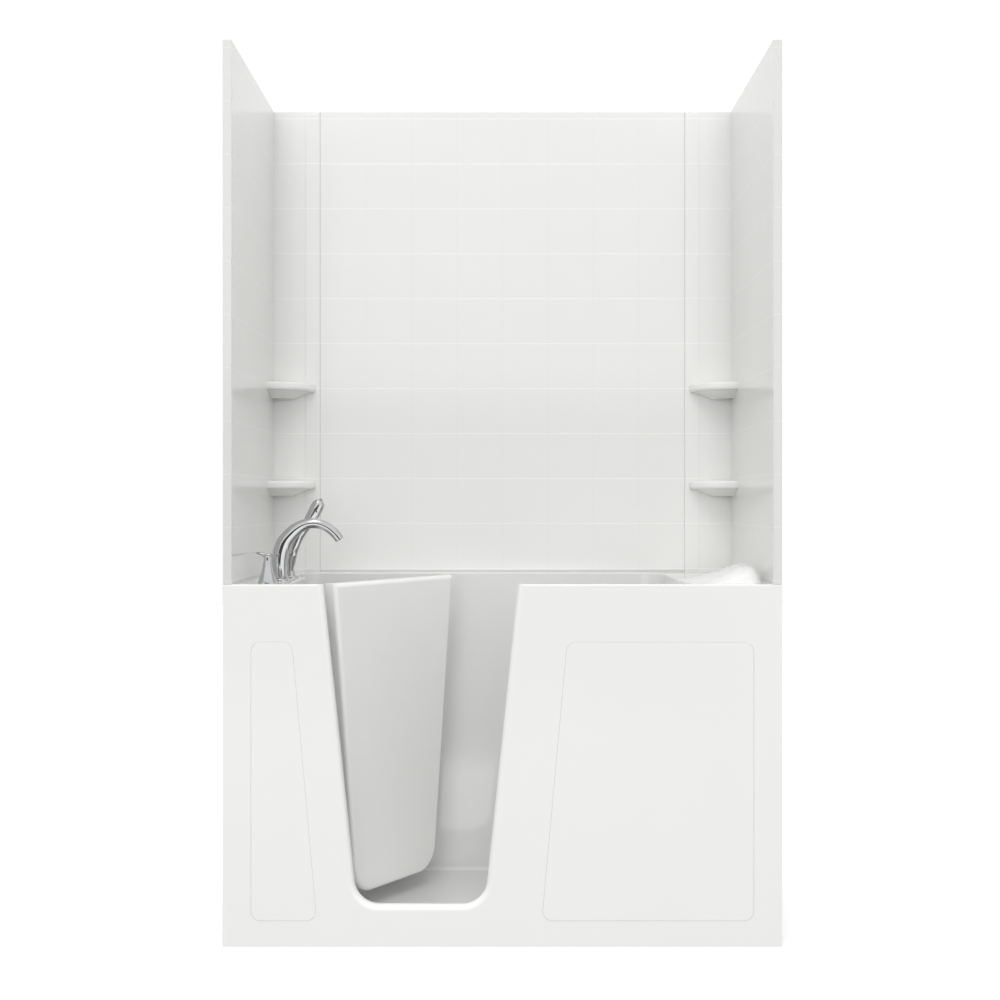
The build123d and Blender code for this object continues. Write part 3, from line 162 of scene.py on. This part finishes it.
def gloss_white(name, base, vary=0.012, rough=(0.07, 0.15), wave=0.0006, peel=0.00002, film=0.02, ior=1.49, seed=1.0, tiles=False):
    """Moulded gloss acrylic: faint broad tone changes, a thin uneven film that dulls the gloss, long-wave moulding waviness and fine peel."""
    m = Nodes(name)
    broad = m.noise(1.7 * seed, 3, 0.5)
    patch = m.noise(9.0, 5, 0.6, distortion=0.4)
    hi = tuple(min(c * (1 + vary), 0.97) for c in base)
    lo = tuple(c * (1 - vary) * w for c, w in zip(base, (0.996, 0.998, 1.0)))
    tone = m.ramp(broad, [(0.32, lo), (0.68, hi)])
    dull = tuple(c * (1 - film) for c in base)
    coat = m.mix(m.remap(patch, 0.42, 0.72, 0.0, 0.55), tone, dull)
    # wall panels only: tile_lines paints highlights along the level grooves and shade towards the side walls
    m.colour(tile_lines(m, coat, (0.97, 0.97, 0.96), (0.76, 0.76, 0.75)) if tiles else coat)
    smear = m.noise(26.0, 6, 0.65, (1.0, 1.0, 0.35))
    mixed = m.math("MULTIPLY", m.math("ADD", patch, smear), 0.5)
    m.roughness(m.remap(mixed, 0.34, 0.66, rough[0], rough[1]))
    m.bump(m.noise(2.6, 2, 0.4), wave)
    m.bump(m.noise(420.0, 2, 0.5), peel)
    m.set(IOR=ior)
    return m.mat


def tile_lines(m, colour, light, dark):
    """Painted highlights in the moulded tile grooves: pale lines along the level grooves stand in for light caught on
    the groove edges; the upright grooves get faintly darker lines.
    """
    xyz = m.add("ShaderNodeSeparateXYZ")
    m.link(m.coord.outputs["Object"], xyz.inputs[0])
    # random unevenness in the strength of the painted groove highlights and the painted side-wall shade
    unevenness = m.noise(5.0, 3, 0.6)
    # the pale level lines are painted highlight; the upright lines are faintly darker
    for axis, pitch, start, half, tint, strength in (("Z", 0.14525, 2.304, 0.0022, light, 0.75), ("X", 0.1469, 0.0, 0.0016, dark, 0.30)):
        off = m.math("SUBTRACT", xyz.outputs[axis], start)
        near = m.math("PINGPONG", off, pitch / 2)
        line = m.remap(near, half * 0.45, half, 1.0, 0.0)
        fac = m.math("MULTIPLY", m.math("MULTIPLY", line, strength), m.remap(unevenness, 0.3, 0.7, 0.6, 1.0))
        colour = m.mix(fac, colour, tint)
    # painted shade: the wall colour darkens towards the two side walls in uneven patches, standing in for their dimmer
    # light
    painted_side_shade = m.remap(m.math("ABSOLUTE", xyz.outputs["X"]), 0.66, 0.745, 0.0, 0.42)
    return m.mix(m.math("MULTIPLY", painted_side_shade, m.remap(unevenness, 0.3, 0.7, 0.85, 1.0)), colour, (0.68, 0.68, 0.67))


def metal(name, base, rough=(0.03, 0.09), scratch=0.0, brushed=False, tint=0.03):
    """Plated or brushed metal: slight tone drift, water marks and fingerprints in the roughness, fine scratches."""
    m = Nodes(name)
    drift = m.noise(30.0, 3)
    lo = tuple(c * (1 - tint) for c in base)
    m.colour(m.ramp(drift, [(0.3, lo), (0.7, base)]))
    spots = m.noise(160.0, 6, 0.7, distortion=0.6)
    broad = m.noise(18.0, 3)
    mixed = m.math("MULTIPLY", m.math("ADD", spots, broad), 0.5)
    m.roughness(m.remap(mixed, 0.38, 0.64, rough[0], rough[1]))
    if brushed:
        m.bump(m.noise(900.0, 3, 0.6, (1.0, 1.0, 0.03)), 0.00003)
    m.bump(m.noise(60.0, 2, 0.4), 0.00002 + scratch)
    m.set(Metallic=1.0)
    return m.mat


def moulded(name, base, vary=0.08, rough=(0.42, 0.6), grain=0.00012, grain_scale=700.0, scuff=0.10):
    """Matte moulded or painted surface with a fine grain, tone drift and paler scuffs."""
    m = Nodes(name)
    broad = m.noise(7.0, 4, 0.55)
    lo = tuple(c * (1 - vary) for c in base)
    hi = tuple(min(c * (1 + vary), 0.95) for c in base)
    tone = m.ramp(broad, [(0.3, lo), (0.7, hi)])
    scuffs = m.remap(m.noise(55.0, 7, 0.72, (1, 1, 0.4), 0.8), 0.60, 0.74, 0.0, 1.0)
    pale = tuple(min(c + scuff, 0.95) for c in base)
    m.colour(m.mix(m.math("MULTIPLY", scuffs, 0.6), tone, pale))
    m.roughness(m.remap(m.noise(40.0, 5, 0.6), 0.35, 0.65, rough[0], rough[1]))
    m.bump(m.noise(grain_scale, 3, 0.6), grain)
    return m.mat


MATS = {
    "wall_gloss": gloss_white("wall_gloss", (0.86, 0.86, 0.845), vary=0.006, rough=(0.03, 0.07), wave=0.00012, film=0.012, ior=1.62, seed=1.0, tiles=True),
    "apron_gloss": gloss_white("apron_gloss", (0.93, 0.93, 0.915), vary=0.004, rough=(0.16, 0.26), wave=0.0003, film=0.010, seed=1.2),
    "tub_gloss": gloss_white("tub_gloss", (0.79, 0.79, 0.78), vary=0.006, rough=(0.025, 0.07), wave=0.00015, film=0.012, ior=1.65, seed=1.4),
    "door_gloss": gloss_white("door_gloss", (0.90, 0.90, 0.885), vary=0.008, rough=(0.14, 0.24), wave=0.0003, film=0.012, seed=1.1),
    "head_rest": gloss_white("head_rest", (0.86, 0.86, 0.85), vary=0.008, rough=(0.12, 0.22), wave=0.0002, film=0.015, seed=2.0),
    "white_trim": gloss_white("white_trim", (0.80, 0.80, 0.79), vary=0.012, rough=(0.12, 0.22), wave=0.0001, film=0.03, seed=6.0),
    "bezel": gloss_white("bezel", (0.62, 0.63, 0.64), vary=0.015, rough=(0.15, 0.28), wave=0.0001, film=0.04, seed=5.0),
    "sealant": moulded("sealant", (0.60, 0.60, 0.59), vary=0.03, rough=(0.35, 0.5), grain=0.00008, grain_scale=160.0, scuff=0.03),
    "foam": moulded("foam", (0.74, 0.66, 0.44), vary=0.06, rough=(0.8, 0.95), grain=0.0006, grain_scale=240.0, scuff=0.04),
    "gasket": moulded("gasket", (0.62, 0.62, 0.61), vary=0.05, rough=(0.45, 0.62), grain=0.00006, scuff=0.05),
    "chrome": metal("chrome", (0.56, 0.565, 0.57), rough=(0.025, 0.07)),
    "stainless": metal("stainless", (0.62, 0.62, 0.62), rough=(0.18, 0.34), brushed=True),
    "black_plastic": moulded("black_plastic", (0.045, 0.045, 0.05), vary=0.2, rough=(0.38, 0.55), scuff=0.05),
    "pvc": moulded("pvc", (0.72, 0.73, 0.72), vary=0.04, rough=(0.3, 0.45), grain=0.00005, scuff=0.05),
    "motor_paint": moulded("motor_paint", (0.055, 0.06, 0.07), vary=0.15, rough=(0.3, 0.48), grain=0.0001, grain_scale=500.0, scuff=0.08),
    "frame_steel": moulded("frame_steel", (0.36, 0.37, 0.38), vary=0.08, rough=(0.4, 0.58), grain=0.00015, grain_scale=380.0, scuff=0.12),
    "feet": moulded("feet", (0.05, 0.05, 0.05), vary=0.2, rough=(0.45, 0.65), scuff=0.06),
    "brass": metal("brass", (0.70, 0.52, 0.25), rough=(0.2, 0.38), tint=0.10),
    "copper": metal("copper", (0.70, 0.40, 0.27), rough=(0.22, 0.42), tint=0.16),
    "heater": moulded("heater", (0.13, 0.135, 0.145), vary=0.12, rough=(0.4, 0.55), scuff=0.06),
    "control_box": moulded("control_box", (0.56, 0.57, 0.58), vary=0.05, rough=(0.4, 0.55), scuff=0.05),
}

for sub in frame["record"]["subparts"]:
    obj = nodes[sub["node"]]
    mat = MATS[sub["material_slot"]]
    if not obj.data.materials:
        obj.data.materials.append(mat)
    for i in range(len(obj.material_slots)):
        obj.material_slots[i].material = mat

# ------------------------------------------------------------------ stage and light
bpy.ops.mesh.primitive_plane_add(size=24, location=(0, 0, 0))
floor = bpy.context.object
floor.name = "floor"
fm = Nodes("floor_paint")
fm.colour(fm.ramp(fm.noise(0.9, 4), [(0.3, (0.86, 0.86, 0.86)), (0.7, (0.90, 0.90, 0.90))]))
fm.roughness(fm.remap(fm.noise(5.0, 4), 0.3, 0.7, 0.6, 0.75))
fm.bump(fm.noise(90.0, 4), 0.0004)
fm.set(Emission_Color=(1, 1, 1, 1), Emission_Strength=FLOOR_GLOW)
floor.data.materials.append(fm.mat)
floor.visible_diffuse = False

# soft studio dome: white above, greyer below, so that undersides stay darker
world = bpy.data.worlds.new("studio")
scene.world = world
world.use_nodes = True
wt = world.node_tree
wt.nodes.clear()
w_out = wt.nodes.new("ShaderNodeOutputWorld")
w_bg = wt.nodes.new("ShaderNodeBackground")
w_co = wt.nodes.new("ShaderNodeTexCoord")
w_xyz = wt.nodes.new("ShaderNodeSeparateXYZ")
w_ramp = wt.nodes.new("ShaderNodeValToRGB")
wt.links.new(w_co.outputs["Generated"], w_xyz.inputs[0])
w_map = wt.nodes.new("ShaderNodeMapRange")
w_map.inputs["From Min"].default_value = -1.0
wt.links.new(w_xyz.outputs["Z"], w_map.inputs["Value"])
wt.links.new(w_map.outputs[0], w_ramp.inputs["Fac"])
els = w_ramp.color_ramp.elements
for pos, v in DOME:
    e = els.new(pos)
    e.color = (v, v, v, 1)
els.remove(els[0])
els.remove(els[-1])
wt.links.new(w_ramp.outputs["Color"], w_bg.inputs["Color"])
w_bg.inputs["Strength"].default_value = DOME_STRENGTH
wt.links.new(w_bg.outputs[0], w_out.inputs[0])


def area(name, loc, target, size, power, size_y=None, glossy=False):
    light = bpy.data.lights.new(name, "AREA")
    light.shape = "RECTANGLE"
    light.size = size
    light.size_y = size_y or size
    light.energy = power
    o = bpy.data.objects.new(name, light)
    scene.collection.objects.link(o)
    o.location = loc
    o.rotation_euler = (Vector(target) - Vector(loc)).to_track_quat("-Z", "Y").to_euler()
    o.visible_glossy = glossy
    return o


def card(name, loc, target, sx, sy, level, soft=0.5):
    """A studio card seen only in reflections: a flat panel of even tone that fades out towards its edges."""
    bpy.ops.mesh.primitive_plane_add(size=1, location=loc)
    o = bpy.context.object
    o.name = name
    o.scale = (sx, sy, 1)
    o.rotation_euler = (Vector(target) - Vector(loc)).to_track_quat("Z", "Y").to_euler()
    o.visible_camera = o.visible_diffuse = o.visible_shadow = o.visible_transmission = False
    m = bpy.data.materials.new(name)
    m.use_nodes = True
    t = m.node_tree
    t.nodes.clear()
    out = t.nodes.new("ShaderNodeOutputMaterial")
    glow = t.nodes.new("ShaderNodeEmission")
    glow.inputs["Color"].default_value = (1, 1, 1, 1)
    glow.inputs["Strength"].default_value = level
    clear = t.nodes.new("ShaderNodeBsdfTransparent")
    mix = t.nodes.new("ShaderNodeMixShader")
    co = t.nodes.new("ShaderNodeTexCoord")
    xyz = t.nodes.new("ShaderNodeSeparateXYZ")
    t.links.new(co.outputs["Generated"], xyz.inputs[0])
    fades = []
    for axis in ("X", "Y"):
        d = t.nodes.new("ShaderNodeMath")
        d.operation = "PINGPONG"
        d.inputs[1].default_value = 0.5
        t.links.new(xyz.outputs[axis], d.inputs[0])
        r = t.nodes.new("ShaderNodeMapRange")
        r.interpolation_type = "SMOOTHSTEP"
        r.inputs["From Max"].default_value = 0.5 * soft
        t.links.new(d.outputs[0], r.inputs["Value"])
        fades.append(r.outputs[0])
    f = t.nodes.new("ShaderNodeMath")
    f.operation = "MULTIPLY"
    t.links.new(fades[0], f.inputs[0])
    t.links.new(fades[1], f.inputs[1])
    t.links.new(f.outputs[0], mix.inputs[0])
    t.links.new(clear.outputs[0], mix.inputs[1])
    t.links.new(glow.outputs[0], mix.inputs[2])
    t.links.new(mix.outputs[0], out.inputs[0])
    o.data.materials.append(m)
    return o


area("key", (-0.5, -3.6, 5.2), (0.1, 0.0, 1.0), 2.6, KEY, 2.2)
area("front", (-0.4, -6.5, 2.0), (0.0, 0.0, 1.1), 4.5, FRONT, 3.5)
card("dark_card", (-0.6, -5.2, 1.0), (-0.6, 0.0, 1.1), 5.0, 2.4, 0.10, 0.35)
card("strip_card", (-0.9, -2.6, 4.05), (-0.6, -0.1, 1.1), 0.8, 1.2, 4.5, 0.3)
card("top_card", (-0.5, -1.4, 4.2), (-0.6, -0.1, 1.1), 1.2, 1.2, 2.6, 0.4)
